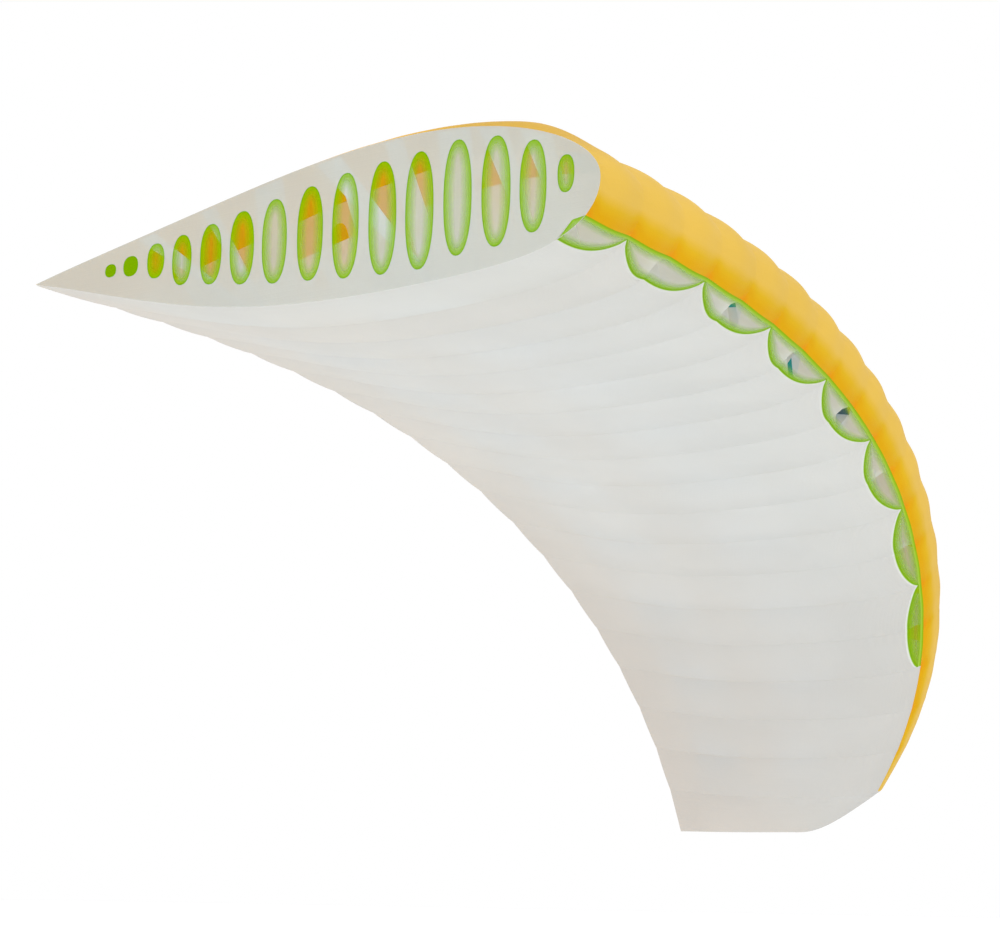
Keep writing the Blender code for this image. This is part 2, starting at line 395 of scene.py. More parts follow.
@dataclass(frozen=True)
class SpanRipstop(Ripstop):
    """White ripstop of the lower skin, painted a darker, warmer grey as painted shade where the
    wing curves down to its tip.

    Attributes:
        tip_shade_colour: sRGB hex colour at the tip, painted shade.
        shade_from: Distance out along the span where the painted shade starts.
        shade_to: Distance out along the span where it is reached.
    """

    # The tip colour is painted shade, darker and warmer than the rest of the lower skin.
    tip_shade_colour: str = "C6C6C5"
    shade_from: float = 2.4
    shade_to: float = 4.3

    def dyed(self, tree: bpy.types.NodeTree) -> bpy.types.NodeSocket:
        """Gives the colour, which darkens into painted shade further out along the span.

        Args:
            tree: Node tree of the material.

        Returns:
            The socket of the colour.
        """
        position = add_node(tree, "TexCoord").outputs["Object"]
        axes = add_node(tree, "SeparateXYZ", {0: position})
        # Painted shade: the lower skin darkens towards the tip.
        tip_shade = add_node(
            tree,
            "MapRange",
            {"Value": axes.outputs["Y"], "From Min": self.shade_from, "From Max": self.shade_to},
            interpolation_type="SMOOTHSTEP",
        )
        ramp = add_node(tree, "ValToRGB", {0: tip_shade.outputs["Result"]})
        return fill_ramp(ramp, ((0.0, self.colour), (1.0, self.tip_shade_colour)))


@dataclass(frozen=True)
class FadingRipstop(Ripstop):
    """Sheer lime edging, dense at its sewn edge and thinning out towards its free one.

    Attributes:
        seam_colour: sRGB hex colour of the sewn edge, where the thread draws the cloth together.
        seam_cover: How much the cloth covers where it starts to turn into that colour.
    """

    seam_colour: str = "649C00"
    seam_cover: float = 0.9

    def covering(self, tree: bpy.types.NodeTree) -> bpy.types.NodeSocket:
        """Gives how much the cloth covers, from the sheet's cover attribute."""
        return add_node(tree, "Attribute", attribute_name=COVER_ATTRIBUTE).outputs["Fac"]

    def dyed(self, tree: bpy.types.NodeTree) -> bpy.types.NodeSocket:
        """Gives the lime colour, which deepens where the cloth covers most."""
        ramp = add_node(tree, "ValToRGB", {0: self.covering(tree)})
        plain = ((0.0, self.colour), (self.seam_cover, self.colour))
        return fill_ramp(ramp, (*plain, (1.0, self.seam_colour)))


@dataclass(frozen=True)
class WovenTape:
    """Woven polyester binding tape: matt, close and ribbed across its length.

    Attributes:
        name: Name of the material.
        stops: Distances from the mouth's edge, as shares of the width, with sRGB hex colours.
        width: Width of the tape.
        rib_pitch: Spacing of the woven ribs. Real ones are 0.8 mm apart, too fine to show, so they
            are drawn coarser.
        rib_depth: Depth of the ribs' relief.
    """

    name: str
    stops: tuple[tuple[float, str], ...]
    width: float = 0.014
    rib_pitch: float = 0.0079
    rib_depth: float = 0.0005

    def build(self) -> bpy.types.Material:
        """Makes the material.

        Returns:
            The finished material.
        """
        material, tree = new_material(self.name)
        cloth = add_node(tree, "UVMap", uv_map=CLOTH_MAP).outputs["UV"]
        # A wave of scale 1 has ten bands in each stretch of pi.
        scale = math.pi / (10 * self.rib_pitch)
        ribs = add_node(
            tree,
            "TexWave",
            {"Vector": cloth, "Scale": scale, "Distortion": 0.4, "Detail": 1.0},
            bands_direction="X",
        )
        bump = add_node(
            tree,
            "Bump",
            {"Height": ribs.outputs["Fac"], "Strength": 0.3, "Distance": self.rib_depth},
        )
        fleck = add_node(tree, "TexNoise", {"Vector": cloth, "Scale": 60.0, "Detail": 2.0})
        shade = add_node(
            tree, "MapRange", {"Value": fleck.outputs["Fac"], "To Min": 0.9, "To Max": 1.0}
        )
        axes = add_node(tree, "SeparateXYZ", {0: cloth})
        across = add_node(tree, "MapRange", {"Value": axes.outputs["Y"], "From Max": self.width})
        ramp = add_node(tree, "ValToRGB", {0: across.outputs["Result"]})
        colour = add_node(
            tree,
            "Mix",
            {0: 1.0, 6: fill_ramp(ramp, self.stops), 7: shade.outputs["Result"]},
            data_type="RGBA",
            blend_type="MULTIPLY",
        )
        surface = add_node(
            tree,
            "BsdfPrincipled",
            {
                "Base Color": colour.outputs[2],
                "Normal": bump.outputs["Normal"],
                "Roughness": 0.7,
                "Metallic": 0.0,
                "Specular IOR Level": 0.1,
            },
        )
        add_node(tree, "OutputMaterial", {"Surface": surface.outputs[0]})
        return material


# Upper skin: nylon ripstop with a silicone coating on its outer face. The coating is smooth but
# thin, so it has hardly any highlight, and the light that comes through from inside the cells
# makes the gold look warm and even.
GOLDEN_RIPSTOP = UpperRipstop("golden_ripstop", "DCB650", glow=0.22, sheer=0.0, gloss=0.08)
# Lower skin: undyed nylon ripstop, coated on its inner face. It takes on the light of the sky and
# glows a little, so its folds are soft greys without highlights.
WHITE_RIPSTOP = SpanRipstop("white_ripstop", "D1D3D3", glow=0.27, sheer=0.0)
# Middle rib: nylon ripstop with a hard resin finish. It is dense, and lets a trace of what lies
# behind it through. Its pale grey is painted shade: darker than the white of the same cloth in the
# inner ribs, to offset the fill light that falls on it in full.
MIDDLE_RIB_CLOTH = Ripstop("middle_rib_cloth", "C3C6C2", sheer=0.12)
# Inner ribs: the same hard-finished ripstop in white, lit from all sides, so it looks bright.
INNER_RIB_CLOTH = Ripstop("inner_rib_cloth", "F4FAFF", glow=0.40, sheer=0.06)
# First inner rib: an uncoated, open weave. The golden skin behind it shows through as tan.
LIGHT_RIB_CLOTH = Ripstop("light_rib_cloth", "F4FAFF", glow=0.45, sheer=0.62)
# V-ribs: hard-finished white ripstop, the densest cloth of the wing, since it carries the load. It
# hardly lets anything behind it show.
V_RIB_CLOTH = Ripstop("v_rib_cloth", "F4FAFF", glow=0.40, sheer=0.03)
# Edging of ports and mouths: uncoated lime ripstop, sewn down at one edge. Without a coating it
# has no highlight at all, only a green glow that thins out inwards.
LIME_EDGING = FadingRipstop("lime_edging", "82B300", gloss=0.0)
# Binding of the upper lips: dyed polyester tape, woven. It is matt, and palest at the mouth's edge.
UPPER_TAPE = WovenTape("upper_lime_tape", ((0.0, "98B840"), (0.7, "80AA00"), (1.0, "7C9A00")))
# Binding of the lower lips: the same tape, lime at the mouth and white where it joins the skin.
LOWER_TAPE = WovenTape(
    "lower_lime_tape",
    ((0.0, "749E00"), (0.3, "80A810"), (0.5, "C8CCC4"), (1.0, "CCCECC")),
)


# --- Form of the wing -----------------------------------------------------------------------------


@dataclass(frozen=True)
class RibFrame:
    """Local frame of a rib: where its nose lies, its axes, its chord and how much it is thicker."""

    lead: Vector
    forward: Vector
    up: Vector
    outward: Vector
    chord: float
    swell: float

    def in_space(self, ahead: float, height: float, shift: float = 0.0) -> Vector:
        """Gives a point of the rib's plane in space.

        Args:
            ahead: Distance ahead of the nose.
            height: Distance above the chord line.
            shift: Distance outwards along the span.

        Returns:
            The point.
        """
        return self.lead + self.forward * ahead + self.up * height + self.outward * shift


class Weight(NamedTuple):
    """One Bernstein weight of the profile's class-shape curves."""

    top: float
    bottom: float


class Port(NamedTuple):
    """A port of the middle rib: behind the nose, above the chord line, width and height, in mm."""

    back: float
    rise: float
    wide: float
    tall: float


@dataclass
class WingShape:
    """The inflated form: plan, arc, twist, profile and mouths.

    Places along a profile run from -1 at the lower rear, through 0 at the nose, to 1 at the upper
    rear, and the distance behind the nose is the square of the place, in chords. Stations along the
    span run from 0 at the middle rib to 1 at the tip edge.

    Attributes:
        root_chord: Chord of the middle rib.
        leading_edge: Where the middle rib's nose lies along X.
        cells: Number of cells.
        width: Width of the middle cells, along the arc.
        taper: Share of that width that the tip cell lacks.
        chord_loss: Share of the chord that goes with the square of the station.
        chord_loss_at_tip: Share of it that goes with the station's tip power.
        sweep: How far the nose lies back, in root chords, with the square of the station.
        sweep_at_tip: How much further back it lies with the tip power.
        tip_power: Power of the station that shapes the tip.
        nose_filling: How far the nose is filled out forwards near the tip.
        filling_at: Station where it is filled out most.
        filling_reach: Stretch of stations over which that dies away.
        arc_even: Angle by which the arc turns down evenly.
        arc_towards_tip: Angle by which it turns down with the square of the station.
        washout: Angle by which the tip is turned nose down.
        toe_out: Angle by which the first inner rib is turned outwards.
        toe_loss: How much of that angle is lost at the tip.
        tip_swell: Share by which the profile is thicker at the tip.
        bulge: Height of the cloth's arch between ribs, in cell widths.
        bulge_fade_power: How late the bulge fades towards the trailing edge.
        middle_crown: How much more the first cell bulges behind its nose, in cell widths.
        middle_crown_from: Place where that starts.
        middle_crown_to: Place where it is reached.
        nose_calm_reach: Stretch of places round the nose where cells near the tip bulge less.
        soft_seam: Share of the arch that runs smoothly over the seams near the nose.
        soft_seam_place: Place where the seams are softest.
        soft_reach: Stretch of places over which that dies away.
        rear_sag: How far the trailing edge is drawn in between ribs, in cell widths.
        rear_sag_power: How close to the trailing edge that stays.
        upper_lip: Place of the mouths' upper lip.
        lower_lip: Place of the lower lip in the middle of a mouth.
        lip_roundness: Power that rounds the lower lip's scallops.
        tape: Width of the lips' binding tapes.
        notch_back: How far a rib is cut back in a mouth, in chords.
        notch_drop: How far below the chord line that cut's corner lies, in chords.
        mouths: Number of mouths; each but the first spans two cells.
        mouth_shares: How deep each mouth is cut, against the full depth.
        nose_seam_power: How late the seam between the skins comes up to the nose past the mouths.
        tip_corner: How far behind the nose the tip cell's front corner starts, in chords.
        tip_corner_power: How that corner is rounded.
        tip_nose_share: Share of its width that the tip cell keeps at the nose.
        tip_closing_power: How the tip cell thins towards the tip edge.
        cloth: Thickness of the solids' cloth.
        profile: Weights of the upper and lower curve, from the nose to the rear.
        ribs: Frames of the ribs, worked out from the rest.
    """

    root_chord: float = 2.8
    leading_edge: float = 1.058
    cells: int = 19
    width: float = 0.30
    taper: float = 0.24
    chord_loss: float = 0.41
    chord_loss_at_tip: float = 0.22
    sweep: float = 0.17
    sweep_at_tip: float = 0.26
    tip_power: int = 6
    nose_filling: float = 0.015
    filling_at: float = 0.85
    filling_reach: float = 0.09
    arc_even: float = 9.0
    arc_towards_tip: float = 67.0
    washout: float = 2.5
    toe_out: float = 3.7
    toe_loss: float = 3.8
    tip_swell: float = 0.1
    bulge: float = 0.06
    bulge_fade_power: int = 16
    middle_crown: float = 0.13
    middle_crown_from: float = 0.2
    middle_crown_to: float = 0.38
    nose_calm_reach: float = 0.3
    soft_seam: float = 0.85
    soft_seam_place: float = -0.03
    soft_reach: float = 0.2
    rear_sag: float = 0.022
    rear_sag_power: int = 40
    upper_lip: float = -0.148
    lower_lip: float = -0.25
    lip_roundness: float = 0.7
    tape: float = 0.014
    notch_back: float = 0.041
    notch_drop: float = 0.0505
    mouths: int = 8
    mouth_shares: tuple[float, ...] = (1, 1, 1, 1, 1, 1, 0.94, 0.8)
    nose_seam_power: float = 2.2
    tip_corner: float = 0.3
    tip_corner_power: float = 2.4
    tip_nose_share: float = 0.04
    tip_closing_power: float = 1.7
    cloth: float = 0.002
    profile: tuple[Weight, ...] = (
        Weight(0.26, 0.34),
        Weight(0.31, 0.18),
        Weight(0.28, 0.29),
        Weight(0.18, 0.35),
        Weight(0.22, 0.20),
    )
    ribs: list[RibFrame] = field(default_factory=list)

    def __post_init__(self) -> None:
        """Works out the rib frames from the plan."""
        self.ribs = self.rib_frames()

    @property
    def last_mouth_rib(self) -> int:
        """Number of the rib where the last mouth ends."""
        return 2 * self.mouths - 1

    def cell_width(self, cell: int) -> float:
        """Gives the width of a cell along the arc; the two middle cells are alike."""
        share = max(cell - 1, 0) / (self.cells - 2)
        return self.width * (1 - self.taper * share**2)

    def rib_frames(self) -> list[RibFrame]:
        """Gives the frames of the ribs, from the middle rib to the tip edge."""
        widths = [self.cell_width(cell) for cell in range(self.cells)]
        stations = [sum(widths[:rib]) / sum(widths) for rib in range(self.cells + 1)]
        slopes = [math.radians(self.arc_even * t + self.arc_towards_tip * t**2) for t in stations]
        frames = []
        across, rise = 0.0, 0.0
        for rib, (t, slope) in enumerate(zip(stations, slopes)):
            if rib:
                middle_slope = (slope + slopes[rib - 1]) / 2
                across += widths[rib - 1] * math.cos(middle_slope)
                rise -= widths[rib - 1] * math.sin(middle_slope)
            setback = self.root_chord * (self.sweep * t**2 + self.sweep_at_tip * t**self.tip_power)
            loss = self.chord_loss * t**2 + self.chord_loss_at_tip * t**self.tip_power
            past = (t - self.filling_at) / self.filling_reach
            filling = self.nose_filling * math.exp(-(past**2))
            setback -= filling
            loss -= filling / self.root_chord
            toe = math.radians(self.toe_out - self.toe_loss * t) if rib else 0.0
            twist = math.radians(-self.washout * t)
            side = Vector((0, math.cos(slope), -math.sin(slope)))
            ahead = Vector((math.cos(toe), 0, 0)) - side * math.sin(toe)
            above = Vector((0, math.sin(slope), math.cos(slope)))
            frames.append(
                RibFrame(
                    lead=Vector((self.leading_edge - setback, across, rise)),
                    forward=ahead * math.cos(twist) + above * math.sin(twist),
                    up=above * math.cos(twist) - ahead * math.sin(twist),
                    outward=Vector((math.sin(toe), 0, 0)) + side * math.cos(toe),
                    chord=self.root_chord * (1 - loss),
                    swell=1 + self.tip_swell * t,
                )
            )
        return frames

    def profile_at(self, place: float) -> tuple[float, float]:
        """Gives the distance behind the nose and the height of a place, in chords."""
        back = place**2
        degree = len(self.profile) - 1
        shape = sum(
            math.comb(degree, n)
            * (row.top if place > 0 else row.bottom)
            * back**n
            * (1 - back) ** (degree - n)
            for n, row in enumerate(self.profile)
        )
        return back, place * (1 - back) * shape

    def normal_at(self, place: float, swell: float) -> tuple[float, float]:
        """Gives the profile's outward normal, as its parts along the forward and up axes."""
        step = 1e-4
        low_back, low_height = self.profile_at(max(place - step, -1))
        high_back, high_height = self.profile_at(min(place + step, 1))
        ahead, up = (high_height - low_height) * swell, high_back - low_back
        size = math.hypot(ahead, up)
        return ahead / size, up / size

    def slide(self, place: float, distance: float, chord: float) -> float:
        """Gives the place that lies a distance further along the profile, to the upper rear.

        Args:
            place: Place to start from.
            distance: Distance to go; a negative one goes to the lower rear.
            chord: Chord of the profile.

        Returns:
            The place.
        """
        step = 1e-3
        run = math.dist(self.profile_at(place), self.profile_at(place + step))
        return place + step * distance / (run * chord)

    def outline_point(self, rib: RibFrame, place: float, offset: float) -> tuple[float, float]:
        """Gives a point of a rib's outline in its plane, moved outwards from the profile."""
        back, height = self.profile_at(place)
        ahead, up = self.normal_at(place, rib.swell)
        return (
            -back * rib.chord + offset * ahead,
            height * rib.chord * rib.swell + offset * up,
        )

    def skin_point(self, cell: int, share: float, place: float, offset: float) -> Vector:
        """Gives a point of a cell's skin.

        Args:
            cell: Number of the cell, from 0 at the middle rib.
            share: From 0 at the cell's inner rib to 1 at its outer one.
            place: Place along the profile.
            offset: Distance outwards from the profile.

        Returns:
            The point.
        """
        if cell == self.cells - 1:
            return self.tip_point(share, place, offset)
        near, far = self.ribs[cell], self.ribs[cell + 1]
        start = near.in_space(*self.outline_point(near, place, offset))
        end = far.in_space(*self.outline_point(far, place, offset))
        ahead, up = self.normal_at(place, near.swell)
        lift = near.forward * ahead + near.up * up
        fade = 1 - abs(place) ** self.bulge_fade_power
        calm = (cell / self.cells) ** 2
        fade *= 1 - calm * math.exp(-((place / self.nose_calm_reach) ** 2))
        from_soft = (place - self.soft_seam_place) / self.soft_reach
        soft = self.soft_seam * math.exp(-(from_soft**2))
        arch = 4 * share * (1 - share) * (1 - soft) + math.sin(math.pi * share) ** 2 * soft
        arch *= self.cell_width(cell)
        if cell == 0:
            crown_run = self.middle_crown_to - self.middle_crown_from
            rise = min(max((place - self.middle_crown_from) / crown_run, 0.0), 1.0)
            fade *= 1 + self.middle_crown / self.bulge * rise**2 * (3 - 2 * rise)
        sag = near.up * (self.rear_sag * arch * abs(place) ** self.rear_sag_power)
        return start.lerp(end, share) + lift * (self.bulge * arch * fade) - sag

    def tip_point(self, share: float, place: float, offset: float) -> Vector:
        """Gives a point of the tip cell's skin, which thins to the tip edge."""
        near, far = self.ribs[-2], self.ribs[-1]
        back, height = self.profile_at(place)
        middle = (height + self.profile_at(-place)[1]) / 2
        closing = 1 - share**self.tip_closing_power
        ahead, up = self.normal_at(place, near.swell * max(closing, self.tip_nose_share))
        if share == 1 and 0 < abs(place) < 1:
            ahead, up = 0.0, math.copysign(1, place)
        flat_height = (middle + (height - middle) * closing) * near.chord * near.swell
        start = near.in_space(-back * near.chord + ahead * offset, flat_height + up * offset)
        centre = near.in_space(-back * near.chord, middle * near.chord * near.swell)
        edge = far.in_space(-back * far.chord, middle * far.chord * far.swell)
        corner = max(self.tip_corner - back, 0) / self.tip_corner
        reach = 1 - (1 - self.tip_nose_share) * corner**self.tip_corner_power
        return start + (edge - centre) * (reach * share)

    def mouth_depth(self, cell: int, share: float) -> float:
        """Gives how deep the lower lip lies here: 0 at a cusp and 1 at the mouth's middle."""
        if cell >= self.last_mouth_rib:
            return 0.0
        across = 1 - share if cell % 2 else share
        return (1 - across**2) ** self.lip_roundness * self.mouth_shares[(cell + 1) // 2]

    def nose_seam(self, cell: int, share: float) -> float:
        """Gives the place of the seam between the upper and lower skins near the nose.

        Args:
            cell: Number of the cell.
            share: From 0 at the cell's inner rib to 1 at its outer one.

        Returns:
            The upper lip up to the last mouth, and from there ever nearer to the nose.
        """
        past = (cell + share - self.last_mouth_rib) / (self.cells - self.last_mouth_rib)
        return self.upper_lip * (1 - max(past, 0.0) ** self.nose_seam_power)

    def chord_at(self, cell: int, share: float) -> float:
        """Gives the chord between two ribs."""
        return self.ribs[cell].chord + (self.ribs[cell + 1].chord - self.ribs[cell].chord) * share

    def lip_places(self, cell: int, share: float) -> tuple[float, float, float, float]:
        """Gives the two edges of the upper tape and the two of the lower tape, nose side first.

        Args:
            cell: Number of the cell.
            share: From 0 at its inner rib to 1 at its outer one.

        Returns:
            Four places.
        """
        chord = self.chord_at(cell, share)
        upper_end = self.slide(self.upper_lip, -self.tape, chord)
        lower_start = upper_end + (self.lower_lip - upper_end) * self.mouth_depth(cell, share)
        return self.upper_lip, upper_end, lower_start, self.slide(lower_start, -self.tape, chord)


# The middle rib's ports, from the trailing edge to the nose.
PORTS = (
    Port(2367, -2, 62, 55),
    Port(2255, 1, 82, 85),
    Port(2117, 3, 94, 145),
    Port(1975, -14, 104, 207),
    Port(1821, -13, 113, 247),
    Port(1659, -11, 126, 297),
    Port(1493, -10, 126, 339),
    Port(1315, -6, 128, 375),
    Port(1142, -2, 129, 415),
    Port(965, 0, 132, 441),
    Port(792, 2, 131, 455),
    Port(618, 23, 128, 443),
    Port(446, 19, 129, 419),
    Port(284, 11, 117, 346),
    Port(143, 34, 72, 140),
)


# --- Cutting cloth --------------------------------------------------------------------------------


@dataclass(frozen=True)
class Fade:
    """How sheer edging thins out from its sewn edge.

    Attributes:
        seam: Width of the sewn edge, which covers fully.
        solid: Distance where it starts to thin out.
        reach: Distance where it ends.
        cover: How much it covers beside the sewn edge.
        power: How fast it thins out.
    """

    seam: float = 0.004
    solid: float = 0.003
    reach: float = 0.053
    cover: float = 0.93
    power: float = 1.25

    def at(self, distance: float) -> float:
        """Gives how much the edging covers at a distance from its sewn edge."""
        if distance <= 0:
            return 1.0
        share = (distance - self.solid) / (self.reach - self.solid)
        return self.cover * (1 - min(max(share, 0.0), 1.0) ** self.power)


@dataclass
class Sheet:
    """A piece of cloth while it is cut: its points, faces, flat coordinates and named values."""

    name: str
    points: list[Vector] = field(default_factory=list)
    faces: list[tuple[int, ...]] = field(default_factory=list)
    flat: list[tuple[float, float]] = field(default_factory=list)
    dyes_and_shades: list[float] = field(default_factory=list)
    covers: list[float] = field(default_factory=list)

    def add_point(
        self, point: Vector, flat: tuple[float, float], dye: float = 0.0, cover: float = 1.0
    ) -> int:
        """Adds a point.

        Args:
            point: Its position.
            flat: Its position on the flat cloth.
            dye: Its place on the pattern of stripes and painted shade.
            cover: How much the cloth covers there.

        Returns:
            Its number.
        """
        self.points.append(point)
        self.flat.append(flat)
        self.dyes_and_shades.append(dye)
        self.covers.append(cover)
        return len(self.points) - 1

    def add_grid(self, rows: list[list[int]]) -> None:
        """Joins rows of point numbers with faces, and leaves out those that cover nothing."""
        for row, following in zip(rows, rows[1:]):
            for n in range(len(row) - 1):
                face = (row[n], row[n + 1], following[n + 1], following[n])
                if max(self.covers[corner] for corner in face) > 0:
                    self.faces.append(face)

    def area(self) -> float:
        """Gives the area of all faces."""
        total = 0.0
        for face in self.faces:
            origin = self.points[face[0]]
            for second, third in zip(face[1:], face[2:]):
                edges = self.points[second] - origin, self.points[third] - origin
                total += edges[0].cross(edges[1]).length / 2
        return total

    def build(
        self,
        material: bpy.types.Material,
        slot: Slot,
        width: float,
        length: Optional[float] = None,
        node: Optional[str] = None,
    ) -> None:
        """Args:
            material: Material of the cloth.
            slot: Material slot of the record. Not used.
            width: Width of the flat cut. Not used.
            length: Length of the flat cut, or None for that of a strip with the sheet's area. Not
                used.
            node: The solid that the sheet takes the place of, if any.
        """
        used = sorted({corner for face in self.faces for corner in face})
        number = {old: new for new, old in enumerate(used)}
        faces = [tuple(number[corner] for corner in face) for face in self.faces]
        mesh = bpy.data.meshes.new(self.name)
        mesh.from_pydata([tuple(self.points[old]) for old in used], [], faces)
        cloth_map = mesh.uv_layers.new(name=CLOTH_MAP)
        for loop in mesh.loops:
            cloth_map.uv[loop.index].vector = self.flat[used[loop.vertex_index]]
        for name, values in ((DYE_AND_SHADE_ATTRIBUTE, self.dyes_and_shades), (COVER_ATTRIBUTE, self.covers)):
            attribute = mesh.attributes.new(name, "FLOAT", "POINT")
            attribute.data.foreach_set("value", [values[old] for old in used])
        mesh.shade_smooth()
        mesh.materials.append(material)
        piece = bpy.data.objects.new(self.name, mesh)
        bpy.context.scene.collection.objects.link(piece)
        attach(piece, ROOT_BODY)
        if node:
            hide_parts(node)


def evenly(start: float, end: float, count: int) -> list[float]:
    """Gives count + 1 numbers from start to end."""
    return [start + (end - start) * n / count for n in range(count + 1)]


class Sway(NamedTuple):
    """A slow wave that makes gathers uneven.

    Attributes:
        pace: Radians for each metre along the seam.
        start: Radians for each further cell.
        strength: Height of the wave.
    """

    pace: float
    start: float
    strength: float


@dataclass
class Skins:
    """Upper and lower panels of every cell, gathered a little along their seams.

    Attributes:
        shape: Form of the wing.
        rows: Number of faces along a panel.
        columns: Number of faces across it.
        arch_ease: Width of the flat cut against the cell's, for its arch.
        flat_ease: Length of the flat cut against that of a strip with the panel's area.
        gather: Height of the gathers.
        gather_reach: How far from the seam they die away.
        gather_pitch: Spacing of the gathers.
        gather_hold: How far from the seam the stitches hold the cloth flat.
        sways: Waves that make the gathers uneven.
        sway_shift: How much the sways shift a gather, in radians.
        sway_strength: Share of the gathers' height that follows the sways.
        stripe_taper: Distance out along the span where the stripe reaches its full width.
        start_shift: How much nearer to the nose the stripe starts in the middle of the wing.
        end_shift: How much nearer to the nose it ends there.
        seam_shade_shift: How far the painted shade at the lip's seams reaches up along a seam, as a
            place.
        seam_shade_reach: How far it spreads beside the seam.
        seam_shade_patch: Stretch of places over which it dies away from the lip.
    """

    shape: WingShape
    rows: int = 96
    columns: int = 16
    arch_ease: float = 1.03
    flat_ease: float = 1.02
    gather: float = 0.0016
    gather_reach: float = 0.055
    gather_pitch: float = 0.048
    gather_hold: float = 0.012
    sways: tuple[Sway, ...] = (Sway(5.1, 2.3, 0.5), Sway(11.7, 1.0, 0.3))
    sway_shift: float = 1.7
    sway_strength: float = 0.35
    stripe_taper: float = 1.9
    start_shift: float = 0.07
    end_shift: float = 0.16
    seam_shade_shift: float = 0.05
    seam_shade_reach: float = 0.035
    seam_shade_patch: float = 0.07

    def point(self, cell: int, share: float, place: float, length: float) -> Vector:
        """Gives a point of the skin with the small gathers that a sewn seam draws in.

        Args:
            cell: Number of the cell.
            share: From 0 at its inner rib to 1 at its outer one.
            place: Place along the profile.
            length: Distance along the profile from the panel's front edge.

        Returns:
            The point.
        """
        from_seam = min(share, 1 - share) * self.shape.cell_width(cell)
        pull = math.exp(-((from_seam / self.gather_reach) ** 2))
        pull *= min(from_seam / self.gather_hold, 1)
        uneven = sum(
            math.sin(length * sway.pace + cell * sway.start) * sway.strength for sway in self.sways
        )
        turns = 2 * math.pi * length / self.gather_pitch
        wave = math.sin(turns + self.sway_shift * uneven + cell)
        height = self.gather * (1 - self.sway_strength + self.sway_strength * uneven)
        offset = self.shape.cloth / 2 + height * pull * wave
        return self.shape.skin_point(cell, share, place, offset)

    def dye_and_shade_place(self, cell: int, share: float, reach: float, place: float) -> float:
        """Gives the place on the pattern of stripes and painted shade: the stripe narrows towards
        the middle of the wing.

        Beside the lip the colour is deeper at the seams: painted shade along the creases there.

        Args:
            cell: Number of the cell; the middle one has no stripe.
            share: From 0 at the cell's inner rib to 1 at its outer one.
            reach: Distance out along the span, in metres.
            place: Place along the profile.

        Returns:
            The place that the upper cloth's colours are laid out by.
        """
        from_seam = min(share, 1 - share) * self.shape.cell_width(cell)
        # Painted shade: near the lip the colour turns deeper beside each seam.
        near_lip = (place - GOLDEN_RIPSTOP.lip_place) / self.seam_shade_patch
        place -= self.seam_shade_shift * math.exp(-((from_seam / self.seam_shade_reach) ** 2) - near_lip**2)
        if cell == 0:
            return place + GOLDEN_RIPSTOP.plain_shift
        near = max(1 - reach / self.stripe_taper, 0.0) ** 2
        start = GOLDEN_RIPSTOP.stripe_start - self.start_shift * near
        end = GOLDEN_RIPSTOP.stripe_end - self.end_shift * near
        knots = (
            (0.0, 0.0),
            (start, GOLDEN_RIPSTOP.stripe_start),
            (end, GOLDEN_RIPSTOP.stripe_end),
            (1.0, 1.0),
        )
        if place <= 0:
            return place
        for (low, dye), (high, next_dye_and_shade) in zip(knots, knots[1:]):
            if place <= high:
                return dye + (next_dye_and_shade - dye) * (place - low) / (high - low)
        return place

    def panel(self, name: str, cell: int, fronts: Sequence[float], rear: float) -> Sheet:
        """Cuts a panel from its front edge to the trailing edge.

        Args:
            name: Name of the panel.
            cell: Number of the cell.
            fronts: Place of the front edge in each column.
            rear: Place of the rear edge.

        Returns:
            The sheet.
        """
        sheet = Sheet(name)
        shares = evenly(0, 1, self.columns)
        rib = self.shape.ribs[cell]
        rows: list[list[int]] = [[] for _ in range(self.rows + 1)]
        for share, front in zip(shares, fronts):
            length = 0.0
            last = self.shape.outline_point(rib, front, 0)
            for row, place in enumerate(evenly(front, rear, self.rows)):
                here = self.shape.outline_point(rib, place, 0)
                length += math.dist(here, last)
                last = here
                point = self.point(cell, share, place, length)
                flat = (share * self.shape.cell_width(cell), length)
                dye = self.dye_and_shade_place(cell, share, point.y, place)
                rows[row].append(sheet.add_point(point, flat, dye))
        sheet.add_grid(rows)
        return sheet

    def build(self) -> None:
        """Makes every panel in place of its solid."""
        upper_cloth = GOLDEN_RIPSTOP.build()
        lower_cloth = WHITE_RIPSTOP.build()
        shape = self.shape
        shares = evenly(0, 1, self.columns)
        for cell in range(shape.cells):
            upper_fronts = [shape.nose_seam(cell, share) for share in shares]
            lower_fronts = upper_fronts
            if cell < shape.last_mouth_rib:
                lower_fronts = [shape.lip_places(cell, share)[3] for share in shares]
            cuts = (
                ("upper", upper_fronts, 1.0, upper_cloth, Slot.UPPER),
                ("lower", lower_fronts, -1.0, lower_cloth, Slot.LOWER),
            )
            for side, fronts, rear, cloth, slot in cuts:
                sheet = self.panel(f"{side}_cloth_{cell + 1:02d}", cell, fronts, rear)
                width = shape.cell_width(cell) * self.arch_ease
                length = sheet.area() / width * self.flat_ease
                sheet.build(cloth, slot, width, length, f"{side}_panel_{cell + 1:02d}")


